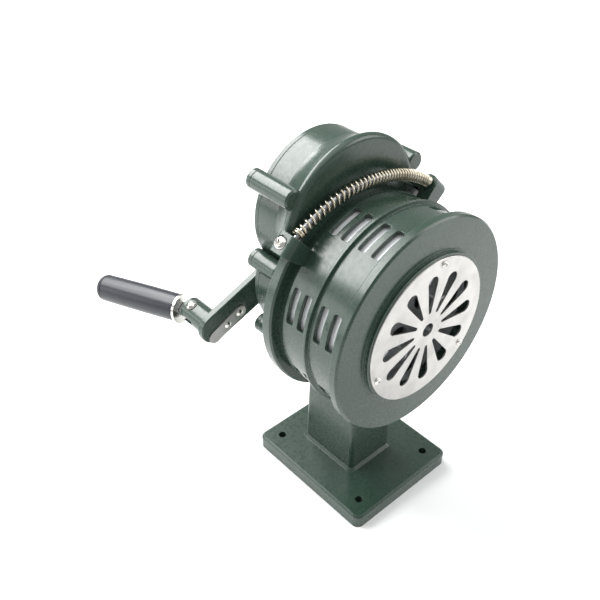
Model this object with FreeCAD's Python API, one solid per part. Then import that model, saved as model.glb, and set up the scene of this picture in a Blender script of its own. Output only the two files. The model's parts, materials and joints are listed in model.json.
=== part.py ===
import FreeCAD, Part
import math
import os

# Hand-cranked rotary siren on a bolted pedestal.
# Frame: origin at the centre of the base plate's underside, +Z up.
# The drum's axis runs along Y; the air inlet faces -Y and the crank is at +Y.
# All sizes are in millimetres.

V = FreeCAD.Vector
Y_AXIS = V(0, 1, 0)
Z_AXIS = V(0, 0, 1)

# ---------------------------------------------------------------- driving sizes
# Pedestal
plate_x = 104.6             # base plate across the drum axis
plate_y = 120.0             # base plate along the drum axis
plate_t = 12.0              # base plate thickness
plate_corner_r = 6.0
plate_bevel = 1.6
bolt_pitch_x = 75.5         # mounting holes, across
bolt_pitch_y = 92.2         # mounting holes, along
bolt_hole_r = 3.25          # clears an M6 bolt
post_x = 44.7               # post at the plate
post_y = 55.2
post_top_x = 39.8           # post at its top
post_top_y = 50.0
post_corner_r = 3.0
post_centre_y = 6.0
post_skirt = 2.2            # raised foot line round the post
post_wall = 5.0
post_lap = 3.0              # post above the gear case's lowest line
deck_drop = 5.5             # top of the post's hollow below the flange

# Drum and covers
drum_z = 177.0              # height of the drum axis
drum_r = 76.0               # stator, outside
drum_wall = 3.5
drum_rear_y = -2.5
drum_front_y = -52.0
ridge_h = 2.5               # raised band between the two slot sections
ridge_y = (-28.0, -24.0)
spigot_t = 1.5              # register at each end of the stator
spigot_len = 5.0
slot_count = 7
slot_arc = 20.0             # degrees
slot_first = 58.3           # angle of the first slot's centre, degrees
slot_w = 6.5                # along the drum
slot_rear = (5.75, 16.25)   # row centres, from the drum's rear end
slot_front = (6.25, 17.75)  # row centres, from the drum's front end
slot_corner_r = 1.8
joint_line = 1.2            # dark line between the stator and the front cover
cover_overhang = 6.0        # front cover beyond the stator
cover_t = 7.2
cover_edge_r = 1.4
cover_bevel = 0.8           # chamfer at the joint with the stator
inlet_r = 47.0              # air inlet behind the grille
boss_wall = 10.0            # inlet boss that carries the grille
boss_h = 3.2
boss_step_w = 1.6           # low step round the inlet boss
boss_step_t = 0.8
grille_inset = 1.9          # boss beyond the grille's edge
grille_t = 1.2
grille_edge_r = 0.5
grille_hole_r = 5.2
petal_count = 12
petal_inner_r = 15.0        # where the small end's centre lies
petal_inner_end_r = 1.3     # small end
petal_end_r = 4.9           # large end
petal_margin = 2.9          # inlet's edge beyond the petals
grille_screw_inset = 4.5    # screws inside the grille's edge
grille_screw_first = 79.5   # degrees
grille_screw_count = 3
grille_screw_len = 5.0      # thread in the boss

# Rear housing and rear cover
flange_overhang = 6.5       # flange beyond the stator
flange_gap = 5.5            # open groove between the stator and the flange
flange_t = 9.0
flange_bevel = 1.2
bulge_set = 5.2             # flange's front to the upper gear case's front
bulge_flare = 7.0           # rim of the upper gear case beyond its wall
bulge_round = 4.0           # rounded front edge
bulge_rim_w = 1.0           # straight rim behind the rounded edge
bulge_taper = 16.0          # flare from the rim back to the case wall
bulge_hollow = 1.3          # hollow of the flare
case_wall = 4.0
case_clear = 2.85           # radial, teeth to the upper wall
case_lower_extra = 2.0      # lower lobe beyond the upper one
case_front_wall = 5.0       # thickness behind the bulge's face
gasket_t = 0.5
rear_cover_t = 3.5
screw_boss_r = 7.25
screw_boss_edge = 1.2       # bevel in front of a boss
ear_web = 9.0               # width of the web from a boss to the case
# angle round the lobe's centre, distance beyond the lobe, depth from the rear, upper lobe or not
screw_bosses = (
    (147.0, 8.5, 34.5, True),
    (20.5, 10.2, 37.3, True),
    (155.0, 4.0, 22.0, False),
    (25.0, 4.0, 22.0, False),
    (214.0, 6.0, 8.0, False),
    (326.0, 6.0, 8.0, False),
)
cover_screw_grip = 8.0      # thread in the housing
cover_boss_r = 15.0
cover_step_r = 22.0         # raised seat round the crank boss
cover_step_h = 1.2
cover_boss_h = 7.0          # crank boss beyond the rear cover
cover_boss_inner = 3.0      # crank boss inside the rear cover
foot_x = 28.0               # foot of the rear housing, inside the post
foot_len = 15.0
foot_gap = 17.0             # foot's underside below the gear case
head_bolt_grip = 9.0        # thread in the foot

# Gears: two equal reverted stages
module = 1.25
wheel_teeth = 74
pinion_teeth = 12
pressure_angle = 20.0
wheel_addendum = 0.9        # short, so that it clears the small pinion's roots
pinion_addendum = 1.2
dedendum = 1.56
backlash = 0.16             # taken from each tooth's thickness at the pitch circle
wheel_width = 8.0
pinion_width = 10.0
wheel_front_gap = 2.8       # case wall to the upper wheel
wheel_gap = 6.0             # upper wheel to the crank wheel
wheel_rear_gap = 9.0        # crank wheel to the case's rear face
wheel_web_t = 4.0
wheel_rim_t = 3.0           # rim under the teeth
wheel_hub_r = 12.5
hub_lip = 0.4               # crank wheel's hub in front of its rim
wheel_hole_r = 8.0
wheel_hole_count = 6

# Shafts and bearings
shaft_r = 5.0               # rotor and intermediate shafts
shaft_small_r = 4.0         # the same shafts, where they carry pinions
crank_shaft_r = 7.0
running_gap = 0.05          # radial, shaft in bush or bearing
bearing_r = 13.0
bearing_w = 8.0
bearing_wall = 4.0
bearing_tube_len = 17.0     # in front of the flange
bearing_lip = 2.0
bush_wall = 2.5
bush_boss_wall = 3.0
bush_sink = 3.0             # front bush in the case wall
rear_bush_len = 7.0
rear_bush_sink = 1.5        # rear bush in the cover plate
shaft_end_gap = 0.3
bush_end_gap = 0.6          # front bush to the upper wheel
pinion_step = 2.0           # larger diameter short of the intermediate pinion

# Rotor
rotor_gap = 0.6             # radial, rotor in stator
rotor_wall = 2.5
rotor_ends = (1.2, 0.7)     # rotor short of the stator's front and rear ends
rotor_web_t = 3.0
rotor_web_set = 7.5         # web behind the hub's rear end
rotor_hub_r = 12.0
rotor_hub_len = 16.0
rotor_hub_gap = 3.0         # hub to the bearing tube
vane_t = 2.2
vane_inner_r = 27.0
rotor_hole_r = 10.0
rotor_hole_pitch_r = 42.0
rotor_washer_r = 8.0
rotor_washer_t = 1.5
rotor_nut_t = 6.5
rotor_nut_af = 13.0
thread_proud = 1.5

# Ratchet
ratchet_gap = 0.4
ratchet_t = 4.2
ratchet_teeth = 16
ratchet_tip_r = 16.0
ratchet_depth = 2.8
pawl_pivot_r = 24.0
pawl_pin_r = 2.0
pawl_eye_r = 3.6
pawl_wire = 0.9
pawl_lead = 36.5            # degrees from a pawl's pivot back to its nose
pawl_nose = (0.7, 0.2)      # nose above the teeth's roots, and beyond their tips
pawl_back = (3.0, 3.4)      # body outside and inside its pivot's radius
pawl_heel = 2.0             # body short of its pivot, degrees
pawl_leg = 9.0              # straight leg of the pawl's spring
pawl_head_t = 0.8
pawl_angles = (60.0, 240.0)
retainer_t = 1.2
retainer_w = 2.2            # ring beyond the crank shaft
retainer_groove = 0.6
retainer_gap = 3.0          # opening in the ring
retainer_land = 1.2         # shaft in front of the ring

# Crank
crank_r = 90.0              # from the shaft to the arm's end boss
crank_angle = 200.5         # direction of the arm, degrees from +X towards +Z
arm_t = 6.0
arm_gap = 6.0               # crank boss to the arm
arm_clear = 0.4             # crank boss to the shaft's collar
collar_r = 9.0
stub_r = 6.0                # shaft's end in the arm
stub_flats = 9.0
crank_washer_r = 10.0
crank_washer_t = 1.2
crank_nut_t = 4.8
crank_nut_af = 16.0
arm_hub_r = 13.5
arm_end_r = 12.5
arm_edge = 0.8
end_boss_r = 9.75
end_boss_h = 19.3           # fold pin behind the arm's rear face
fold_pin_r = 2.5
fold_pin_head_r = 4.2
fold_pin_ball_r = 5.2       # radius of the head's dome
fold_pin_proud = 0.3
fork_end = 6.5              # boss beyond the pin
fork_gap = 8.0
tang_t = 7.4
tang_r = 6.2
tang_side_gap = 1.0         # fork's bottom beyond the tang
fold_lean = 18.85           # lean of the grip away from the drum axis, degrees
leaf_t = 1.2
leaf_r = 5.4
leaf_start = (68.0, -3.6)   # along the arm, across it
leaf_end = (94.0, -5.6)
rivet_r = 1.6
rivet_head_r = 2.9
rivet_ball_r = 3.6
rivet_depth = 4.0
rivet_along = (0.4, 13.0)   # from the leaf's start
rivet_drop = 1.0            # second rivet below the first

# Grip, measured along its own axis from the fold pin
grip_r = 11.0
grip_span = (15.3, 89.5)
grip_bore_r = 4.1
grip_rod_r = 4.0
rod_thin = 0.3              # rod thinner than its tang's neck
rod_proud = 1.0             # rod beyond its nut
grip_washer_t = 1.0
washer_clear = 0.6          # washer inside the grip's recess
grip_nut_t = 4.5
grip_nut_af = 11.0
cap_plug = 4.0
ferrule_r = 11.5
ferrule_t = 2.2
ferrule_gap = 0.4           # tang's neck to the ferrule
cap_len = 6.2
cap_recess_r = 7.5
nut_recess = 12.0

# Carry handle
handle_rise = 18.5          # bend radius beyond the stator
handle_drop = 7.0           # bend's centre below the drum axis
handle_y = -1.5
handle_skew = -4.0          # degrees about Z
handle_end_gap = 0.6        # between the coil's end and the lug's seat
handle_coil_r = 4.5
handle_coil_wire = 1.3
handle_core_r = 2.2
handle_core_sink = 5.0      # core inside each lug
lug_h = 19.0                # above the stator
lug_front_r = 6.0           # rounding of the pad's front edge
lug_sink = 3.0              # outline's start below the stator's surface, before it is cut to fit
lug_case_gap = 0.4          # lug to the upper gear case
lug_seat = 41.5             # seat face, degrees from the vertical
lug_side = 50.5             # outer side, degrees from the vertical
lug_foot_h = 14.5           # foot behind a short pad, above the stator
lug_screw_back = 4.95       # screw in front of the flange's rear face
lug_screw_depth = 7.0       # thread in the flange
lug_recess = 1.2            # lug screw's seat below the face round it
# side, reach and pad's rear in front of the flange's rear face, rounding of the pad's rear edge,
# height of the face under the screw
lugs = (
    (-1, 16.0, 0.0, 1.2, lug_h),
    (1, 24.5, 13.0, 4.0, lug_foot_h),
)
screw_head_clear = 0.4      # radial, round a lug screw's head

lap = 1.0                   # overlap of shapes that are joined into one casting

# Fasteners: shank radius, head radius, head height
m3_pan = (1.5, 2.75, 1.7)
m5_pan = (2.5, 4.6, 2.9)
m6_hex = (3.0, 5.0, 4.0)

# --------------------------------------------------------------- derived sizes
# Radii round the drum axis
ridge_r = drum_r + ridge_h
drum_bore_r = drum_r - drum_wall
spigot_r = drum_r - spigot_t
rotor_r = drum_bore_r - rotor_gap
cover_r = drum_r + cover_overhang
flange_r = drum_r + flange_overhang
boss_r = inlet_r + boss_wall
grille_r = boss_r - grille_inset
grille_screw_r = grille_r - grille_screw_inset
petal_outer_r = inlet_r - petal_margin - petal_end_r
bearing_tube_r = bearing_r + bearing_wall

# Planes along the drum axis, from the front
row_centres = (drum_rear_y - slot_rear[0], drum_rear_y - slot_rear[1],
               drum_front_y + slot_front[1], drum_front_y + slot_front[0])
slot_rows = [(centre - slot_w / 2, centre + slot_w / 2) for centre in row_centres]
cover_rear_y = drum_front_y - joint_line
cover_face_y = cover_rear_y - cover_t
grille_seat_y = cover_face_y - boss_h
grille_face_y = grille_seat_y - grille_t
flange_y = (drum_rear_y + flange_gap, drum_rear_y + flange_gap + flange_t)
bulge_face_y = flange_y[0] + bulge_set
cavity_front_y = bulge_face_y + case_front_wall
front_wheel_y = cavity_front_y + wheel_front_gap
rear_wheel_y = front_wheel_y + wheel_width + wheel_gap
case_rear_y = rear_wheel_y + wheel_width + wheel_rear_gap
cover_inner_y = case_rear_y + gasket_t
cover_outer_y = cover_inner_y + rear_cover_t
cover_boss_y = cover_outer_y + cover_boss_h
cover_boss_inner_y = cover_inner_y - cover_boss_inner
arm_y = (cover_boss_y + arm_gap, cover_boss_y + arm_gap + arm_t)
fold_pin_y = arm_y[1] + end_boss_h
rotor_y = (drum_front_y + rotor_ends[0], drum_rear_y - rotor_ends[1])
bearing_tube_y = flange_y[0] - bearing_tube_len
bearing_at = (bearing_tube_y, cavity_front_y - bearing_w)
rotor_hub_y = (bearing_tube_y - rotor_hub_gap - rotor_hub_len, bearing_tube_y - rotor_hub_gap)
rotor_web_y = (rotor_hub_y[1] - rotor_web_set - rotor_web_t, rotor_hub_y[1] - rotor_web_set)
pinion_seat_y = front_wheel_y - (pinion_width - wheel_width) / 2
inter_pinion_y = rear_wheel_y - (pinion_width - wheel_width) / 2
inter_step_y = inter_pinion_y - pinion_step
crank_gear_hub_y = (rear_wheel_y - hub_lip, rear_wheel_y + wheel_width)
ratchet_y = (crank_gear_hub_y[1] + ratchet_gap, crank_gear_hub_y[1] + ratchet_gap + ratchet_t)
bush_front_y = cavity_front_y - bush_sink
bush_rear_y = front_wheel_y - bush_end_gap
rear_bush_y = (cover_inner_y + rear_bush_sink - rear_bush_len, cover_inner_y + rear_bush_sink)
lug_screw_y = flange_y[1] - lug_screw_back

# Gears and gear case
pitch_wheel_r = module * wheel_teeth / 2
pitch_pinion_r = module * pinion_teeth / 2
upper_z = drum_z + pitch_wheel_r + pitch_pinion_r
case_upper_r = pitch_wheel_r + wheel_addendum + case_clear + case_wall
case_lower_r = case_upper_r + case_lower_extra
bulge_rim_r = case_upper_r + bulge_flare
bulge_face_r = bulge_rim_r - bulge_round
bulge_rim_y = (bulge_face_y + bulge_round, bulge_face_y + bulge_round + bulge_rim_w)
slot_pitch = 360.0 / slot_count
ratchet_root_r = ratchet_tip_r - ratchet_depth
bush_outer_r = shaft_r + bush_wall
crank_bush_r = crank_shaft_r + bush_wall
rear_bush_r = shaft_small_r + bush_wall

# Foot of the head on the post
foot_y = (flange_y[1] + 1.0, flange_y[1] + 1.0 + foot_len)
foot_z = drum_z - case_lower_r - foot_gap
deck_z = drum_z - flange_r - deck_drop
head_bolt_x = (-foot_x / 4, foot_x / 4)
head_bolt_y = (foot_y[0] + foot_y[1]) / 2

# Crank directions
crank_turn = math.radians(crank_angle)
arm_dir = V(math.cos(crank_turn), 0, math.sin(crank_turn))
arm_normal = Y_AXIS.cross(arm_dir)
crank_end = V(0, 0, drum_z) + arm_dir * crank_r
fold_point = crank_end + V(0, fold_pin_y, 0)
lean = math.radians(fold_lean)
grip_dir = Y_AXIS * math.cos(lean) + arm_dir * math.sin(lean)

# Grip, along its axis
ferrule_start = grip_span[0] - ferrule_t
rod_end = grip_span[1] - nut_recess + grip_washer_t + grip_nut_t + rod_proud

# Carry handle's bend, from lug to lug
handle_r = drum_r + handle_rise
handle_centre_z = drum_z - handle_drop
seat_sine = math.sin(math.radians(lug_seat))
seat_cosine = math.cos(math.radians(lug_seat))
seat_reach = math.sqrt(handle_r ** 2 - (handle_drop * seat_sine) ** 2) - handle_drop * seat_cosine
handle_half_angle = math.degrees(math.asin(seat_reach * seat_sine / handle_r) - handle_end_gap / handle_r)


# --------------------------------------------------------------------- helpers
def save(name, shape):
    shape.exportStep("parts/" + name + ".step")


def polar(radius, degrees, y=0.0, z=drum_z):
    a = math.radians(degrees)
    return V(radius * math.cos(a), y, z + radius * math.sin(a))


def rod(radius, y0, y1, z=drum_z, x=0.0):
    return Part.makeCylinder(radius, y1 - y0, V(x, y0, z), Y_AXIS)


def tube(outer, inner, y0, y1, z=drum_z, x=0.0):
    return rod(outer, y0, y1, z, x).cut(rod(inner, y0, y1, z, x))


def rod_along(radius, start, direction, length):
    return Part.makeCylinder(radius, length, start, direction)


def block(x0, x1, y0, y1, z0, z1):
    return Part.makeBox(x1 - x0, y1 - y0, z1 - z0, V(x0, y0, z0))


def fuse(shapes):
    return shapes[0].multiFuse(shapes[1:]).removeSplitter()


def group(shapes):
    return Part.makeCompound(shapes)


def turned(profile, z=drum_z):
    """Solid of revolution about the Y axis from (radius, y) points."""
    points = [V(r, y, z) for r, y in profile]
    face = Part.Face(Part.makePolygon(points + points[:1]))
    return face.revolve(V(0, 0, z), Y_AXIS, 360)


def about_axis(shape, degrees, z=drum_z):
    """Copy turned about the Y axis, counted from +X towards +Z."""
    copy = shape.copy()
    copy.rotate(V(0, 0, z), Y_AXIS, -degrees)
    return copy


def around(shape, count, z=drum_z, first=0.0):
    return [about_axis(shape, first + i * 360.0 / count, z) for i in range(count)]


def rounded_rectangle(width, depth, radius, z, centre_y=0.0):
    """Wire in a horizontal plane, with arc corners."""
    hx = width / 2 - radius
    hy = depth / 2 - radius
    edges = []
    corners = ((hx, hy, 0), (-hx, hy, 90), (-hx, -hy, 180), (hx, -hy, 270))
    arcs = []
    for cx, cy, start in corners:
        circle = Part.Circle(V(cx, centre_y + cy, z), Z_AXIS, radius)
        arcs.append(circle.toShape(math.radians(start), math.radians(start + 90)))
    for i, arc in enumerate(arcs):
        following = arcs[(i + 1) % len(arcs)]
        edges.append(arc)
        edges.append(Part.makeLine(arc.lastVertex(True).Point, following.firstVertex(True).Point))
    return Part.Wire(edges)


def rounded_block(width, depth, radius, z0, z1, centre_y=0.0):
    face = Part.Face(rounded_rectangle(width, depth, radius, z0, centre_y))
    return face.extrude(V(0, 0, z1 - z0))


def tapered_block(lower, upper, z0, z1, centre_y):
    wires = [rounded_rectangle(w, d, r, z, centre_y) for (w, d, r), z in ((lower, z0), (upper, z1))]
    return Part.makeLoft(wires, True, True)


def stadium(r0, r1, length):
    """Outline in the XZ plane: a circle at the origin and one at +X, with their tangents."""
    tilt = math.acos((r0 - r1) / length)
    start = V(r0 * math.cos(tilt), 0, r0 * math.sin(tilt))
    end = V(length + r1 * math.cos(tilt), 0, r1 * math.sin(tilt))
    start_low = V(start.x, 0, -start.z)
    end_low = V(end.x, 0, -end.z)
    edges = [
        Part.makeLine(start, end),
        Part.Arc(end, V(length + r1, 0, 0), end_low).toShape(),
        Part.makeLine(end_low, start_low),
        Part.Arc(start_low, V(-r0, 0, 0), start).toShape(),
    ]
    return Part.Face(Part.Wire(edges))


def pan_screw(size, length, seat, direction):
    """Pan-head screw with a cross recess; its head rises from seat along direction."""
    shank_r, head_r, head_h = size
    shank = rod_along(shank_r, seat - direction * length, direction, length)
    head = rod_along(head_r, seat, direction, head_h)
    top = [e for e in head.Edges if (e.CenterOfMass - seat).dot(direction) > 0.9 * head_h]
    head = head.makeFillet(0.55 * head_h, top[:1])
    across = direction.cross(Y_AXIS if abs(direction.y) < 0.9 else Z_AXIS).normalize()
    along = direction.cross(across)
    arm = 0.55 * head_r
    half = 0.13 * head_r
    floor = seat + direction * (0.45 * head_h)
    bars = []
    for u, v in ((across, along), (along, across)):
        end = u * arm
        side = v * half
        corners = [floor - end - side, floor + end - side, floor + end + side, floor - end + side]
        face = Part.Face(Part.makePolygon(corners + corners[:1]))
        bars.append(face.extrude(direction * head_h))
    return shank.fuse(head).removeSplitter().cut(bars[0].fuse(bars[1]))


def dome(seat, direction, radius, ball_r):
    """Domed head of a radius at its seat, cut from a ball."""
    centre = seat - direction * math.sqrt(ball_r ** 2 - radius ** 2)
    return Part.makeSphere(ball_r, centre).common(rod_along(radius, seat, direction, ball_r))


def hexagon(across_flats, centre, direction, height):
    """Hexagonal prism standing on centre."""
    side = direction.cross(Z_AXIS if abs(direction.z) < 0.9 else Y_AXIS).normalize()
    up = direction.cross(side)
    radius = across_flats / math.sqrt(3)
    points = []
    for i in range(6):
        a = math.radians(60 * i)
        points.append(centre + side * (radius * math.cos(a)) + up * (radius * math.sin(a)))
    return Part.Face(Part.makePolygon(points + points[:1])).extrude(direction * height)


def involute_angle(radius, base_r):
    """Polar angle of the involute at a radius, in radians."""
    turn = math.acos(min(1.0, base_r / radius))
    return math.tan(turn) - turn


def gear(teeth, addendum, y0, width, z, tooth_at):
    """Spur gear about the Y axis with one tooth centred at the angle tooth_at."""
    pitch_r = module * teeth / 2
    base_r = pitch_r * math.cos(math.radians(pressure_angle))
    root_r = pitch_r - dedendum
    tip_r = pitch_r + addendum
    half_pitch = math.pi / 2 / teeth - backlash / 2 / pitch_r + involute_angle(pitch_r, base_r)
    start_r = max(root_r, base_r)
    steps = 4
    flank = [(root_r, half_pitch)] if root_r < base_r else []
    for i in range(steps + 1):
        r = start_r + (tip_r - start_r) * i / steps
        flank.append((r, half_pitch - involute_angle(r, base_r)))
    points = []
    for tooth in range(teeth):
        middle = math.radians(tooth_at) + 2 * math.pi * tooth / teeth
        outline = [(r, middle - a) for r, a in flank] + [(r, middle + a) for r, a in reversed(flank)]
        points += [V(r * math.cos(a), y0, z + r * math.sin(a)) for r, a in outline]
    return Part.Face(Part.makePolygon(points + points[:1])).extrude(V(0, width, 0))


# -------------------------------------------------------------------- pedestal
def pedestal():
    top_z = drum_z - case_lower_r + post_lap
    plate = rounded_block(plate_x, plate_y, plate_corner_r, 0, plate_t)
    rim = [e for e in plate.Edges if abs(e.BoundBox.ZMin - plate_t) < 0.01]
    plate = plate.makeChamfer(plate_bevel, rim)
    lower = (post_x, post_y, post_corner_r)
    upper = (post_top_x, post_top_y, post_corner_r)
    post = tapered_block(lower, upper, plate_t, top_z, post_centre_y)
    skirt = (post_x + 2 * post_skirt, post_y + 2 * post_skirt, post_corner_r + post_skirt)
    foot = tapered_block(skirt, lower, plate_t, plate_t + post_skirt, post_centre_y)
    body = fuse([plate, post, foot])
    inner_low = (post_x - 2 * post_wall, post_y - 2 * post_wall, post_corner_r)
    inner_top = (post_top_x - 2 * post_wall, post_top_y - 2 * post_wall, post_corner_r)
    body = body.cut(tapered_block(inner_low, inner_top, 0, deck_z, post_centre_y))
    body = body.cut(rod(drum_r, cover_face_y, drum_rear_y))
    body = body.cut(rod(flange_r, drum_rear_y, flange_y[1]))
    body = body.cut(rod(case_lower_r, flange_y[1], cover_outer_y))
    body = body.cut(block(-foot_x / 2, foot_x / 2, flange_y[1] - lap, foot_y[1], foot_z, top_z))
    for x in (-bolt_pitch_x / 2, bolt_pitch_x / 2):
        for y in (-bolt_pitch_y / 2, bolt_pitch_y / 2):
            body = body.cut(rod_along(bolt_hole_r, V(x, y, 0), Z_AXIS, plate_t))
    for x in head_bolt_x:
        body = body.cut(rod_along(m6_hex[0], V(x, head_bolt_y, deck_z), Z_AXIS, foot_z - deck_z))
    return body


def pedestal_bolts():
    """Hexagon bolts from inside the hollow post into the rear housing's foot."""
    bolts = []
    for x in head_bolt_x:
        seat = V(x, head_bolt_y, deck_z)
        shank = rod_along(m6_hex[0], seat, Z_AXIS, foot_z - deck_z + head_bolt_grip)
        head = hexagon(2 * m6_hex[1], seat - Z_AXIS * m6_hex[2], Z_AXIS, m6_hex[2])
        bolts.append(shank.fuse(head).removeSplitter())
    return group(bolts)


# ---------------------------------------------------------------------- stator
def slot_tool():
    """One discharge slot at angle 0, cut square to the wall, for a row centred on y = 0."""
    half = drum_r * math.sin(math.radians(slot_arc / 2))
    inner = (rotor_r - rotor_wall) * math.cos(math.radians(slot_arc / 2)) - lap
    tool = block(inner, drum_r + lap, -slot_w / 2, slot_w / 2, drum_z - half, drum_z + half)
    edges = [e for e in tool.Edges if abs(abs(e.tangentAt(e.FirstParameter).x) - 1) < 1e-6]
    return tool.makeFillet(slot_corner_r, edges)


def slots(offset):
    tools = []
    for low, high in slot_rows:
        row = slot_tool()
        row.translate(V(0, (low + high) / 2, 0))
        tools += around(row, slot_count, first=slot_first + offset)
    return tools


def stator_drum():
    profile = (
        (drum_bore_r, flange_y[0] + spigot_len),
        (spigot_r, flange_y[0] + spigot_len),
        (spigot_r, drum_rear_y),
        (drum_r, drum_rear_y),
        (drum_r, ridge_y[1]),
        (ridge_r, ridge_y[1] - 1.0),
        (ridge_r, ridge_y[0] + 1.0),
        (drum_r, ridge_y[0]),
        (drum_r, drum_front_y),
        (spigot_r, drum_front_y),
        (spigot_r, drum_front_y - spigot_len),
        (drum_bore_r, drum_front_y - spigot_len),
    )
    return turned(profile).cut(group(slots(0.0)))


# ----------------------------------------------------------- front cover, grille
def grille_screw_places(y):
    angles = [grille_screw_first - i * 360.0 / grille_screw_count for i in range(grille_screw_count)]
    return [polar(grille_screw_r, angle, y) for angle in angles]


def front_cover():
    seat_y = drum_front_y - spigot_len
    profile = (
        (spigot_r, cover_rear_y),
        (cover_r - cover_bevel, cover_rear_y),
        (cover_r, cover_rear_y - cover_bevel),
        (cover_r, cover_face_y + cover_edge_r),
        (cover_r - cover_edge_r, cover_face_y),
        (boss_r + boss_step_w, cover_face_y),
        (boss_r + boss_step_w, cover_face_y - boss_step_t),
        (boss_r, cover_face_y - boss_step_t),
        (boss_r, grille_seat_y),
        (inlet_r, grille_seat_y),
        (inlet_r, seat_y),
        (spigot_r, seat_y),
    )
    cover = turned(profile)
    for at in grille_screw_places(grille_seat_y):
        cover = cover.cut(rod_along(m3_pan[0], at, Y_AXIS, grille_screw_len))
    return cover


def petal():
    """Tear-drop cut along +X: a small circle near the centre and a large one outside."""
    face = stadium(petal_inner_end_r, petal_end_r, petal_outer_r - petal_inner_r)
    face.translate(V(petal_inner_r, grille_face_y, drum_z))
    return face.extrude(V(0, grille_t, 0))


def grille():
    disc = rod(grille_r, grille_face_y, grille_face_y + grille_t)
    edge = [e for e in disc.Edges if abs(e.CenterOfMass.y - grille_face_y) < 0.01]
    disc = disc.makeFillet(grille_edge_r, edge[:1])
    cuts = around(petal(), petal_count)
    cuts.append(rod(grille_hole_r, grille_face_y, grille_face_y + grille_t))
    for at in grille_screw_places(grille_face_y):
        cuts.append(rod_along(m3_pan[0], at, Y_AXIS, grille_t))
    return disc.cut(group(cuts))


def grille_screws():
    length = grille_t + grille_screw_len
    return group([pan_screw(m3_pan, length, at, -Y_AXIS) for at in grille_screw_places(grille_face_y)])


# ------------------------------------------------------------------ rear housing
def lobe_outline(upper_r, lower_r, y0, y1):
    return rod(upper_r, y0, y1, upper_z).fuse(rod(lower_r, y0, y1))


def boss_centre(angle, distance, upper):
    if upper:
        return polar(case_upper_r + distance, angle, 0.0, upper_z)
    return polar(case_lower_r + distance, angle)


def ear(angle, distance, upper, y0, y1):
    """Screw boss beside one lobe, with the web that joins them."""
    z = upper_z if upper else drum_z
    lobe_r = case_upper_r if upper else case_lower_r
    web = block(lobe_r - case_wall / 2, lobe_r + distance, y0, y1, z - ear_web / 2, z + ear_web / 2)
    c = boss_centre(angle, distance, upper)
    return rod(screw_boss_r, y0, y1, c.z, c.x).fuse(about_axis(web, angle, z))


def bevel(radius, edge, at):
    """Cone in front of a round boss, which bevels its front edge."""
    return Part.makeCone(radius - edge, radius, edge, at - Y_AXIS * edge, Y_AXIS)


def ears(y0, y1):
    """Ears for all cover screws, between two planes."""
    return [ear(angle, distance, upper, y0, y1) for angle, distance, _, upper in screw_bosses]


def cover_screw_holes(y0, y1):
    centres = [boss_centre(angle, distance, upper) for angle, distance, _, upper in screw_bosses]
    return group([rod(m5_pan[0], y0, y1, c.z, c.x) for c in centres])


def bowed(start, end, sag):
    """Arc between two points of the upper lobe's (radius, y) profile, bowed outwards by the sag."""
    chord = V(end[0] - start[0], end[1] - start[1], 0)
    outward = V(chord.y, -chord.x, 0) / chord.Length
    middle = V((start[0] + end[0]) / 2, (start[1] + end[1]) / 2, upper_z) + outward * sag
    return Part.Arc(V(start[0], start[1], upper_z), middle, V(end[0], end[1], upper_z)).toShape()


def upper_lobe():
    """Upper gear case: flat face, rounded rim and a hollow flare back to the wall."""
    face_edge = (bulge_face_r, bulge_face_y)
    rim = [(bulge_rim_r, y) for y in bulge_rim_y]
    wall = (case_upper_r, bulge_rim_y[1] + bulge_taper)
    outline = (wall, (case_upper_r, case_rear_y), (0, case_rear_y), (0, bulge_face_y), face_edge)
    points = [V(r, y, upper_z) for r, y in outline]
    edges = [Part.makeLine(a, b) for a, b in zip(points, points[1:])]
    edges.append(bowed(face_edge, rim[0], bulge_round * (1 - math.cos(math.pi / 4))))
    edges.append(Part.makeLine(V(rim[0][0], rim[0][1], upper_z), V(rim[1][0], rim[1][1], upper_z)))
    edges.append(bowed(rim[1], wall, -bulge_hollow))
    return Part.Face(Part.Wire(edges)).revolve(V(0, 0, upper_z), Y_AXIS, 360)


def rear_housing():
    bulge = upper_lobe()
    flange = turned((
        (0, flange_y[0]),
        (flange_r - flange_bevel, flange_y[0]),
        (flange_r, flange_y[0] + flange_bevel),
        (flange_r, flange_y[1] - flange_bevel),
        (flange_r - flange_bevel, flange_y[1]),
        (0, flange_y[1]),
    ))
    lower = rod(case_lower_r, flange_y[0] + lap, case_rear_y)
    hub = rod(bearing_tube_r, bearing_tube_y, flange_y[0] + lap)
    foot_top_z = drum_z - case_lower_r * math.cos(math.asin(foot_x / 2 / case_lower_r)) + lap
    foot = block(-foot_x / 2, foot_x / 2, flange_y[1] - lap, foot_y[1], foot_z, foot_top_z)
    bosses = []
    for angle, distance, depth, upper in screw_bosses:
        front_y = case_rear_y - depth
        c = boss_centre(angle, distance, upper)
        bosses.append(ear(angle, distance, upper, front_y, case_rear_y))
        bosses.append(bevel(screw_boss_r, screw_boss_edge, V(c.x, front_y, c.z)))
    body = fuse([bulge, flange, lower, hub, foot] + bosses)

    cavity = lobe_outline(case_upper_r - case_wall, case_lower_r - case_wall, cavity_front_y, case_rear_y)
    groove = tube(spigot_r, drum_bore_r, flange_y[0], flange_y[0] + spigot_len)
    body = body.cut(cavity).cut(groove)
    post = rod(bush_outer_r + bush_boss_wall, cavity_front_y - lap, bush_rear_y, upper_z)
    body = body.fuse(post).removeSplitter()
    body = body.cut(rod(bush_outer_r, bush_front_y, bush_rear_y, upper_z))
    body = body.cut(rod(bearing_r - bearing_lip, bearing_tube_y, cavity_front_y))
    for y0 in bearing_at:
        body = body.cut(rod(bearing_r, y0, y0 + bearing_w))
    body = body.cut(cover_screw_holes(case_rear_y - cover_screw_grip, case_rear_y))
    for x in head_bolt_x:
        at = V(x, head_bolt_y, foot_z)
        body = body.cut(rod_along(m6_hex[0], at, Z_AXIS, head_bolt_grip))
    return body.cut(lug_screw_holes())


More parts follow.
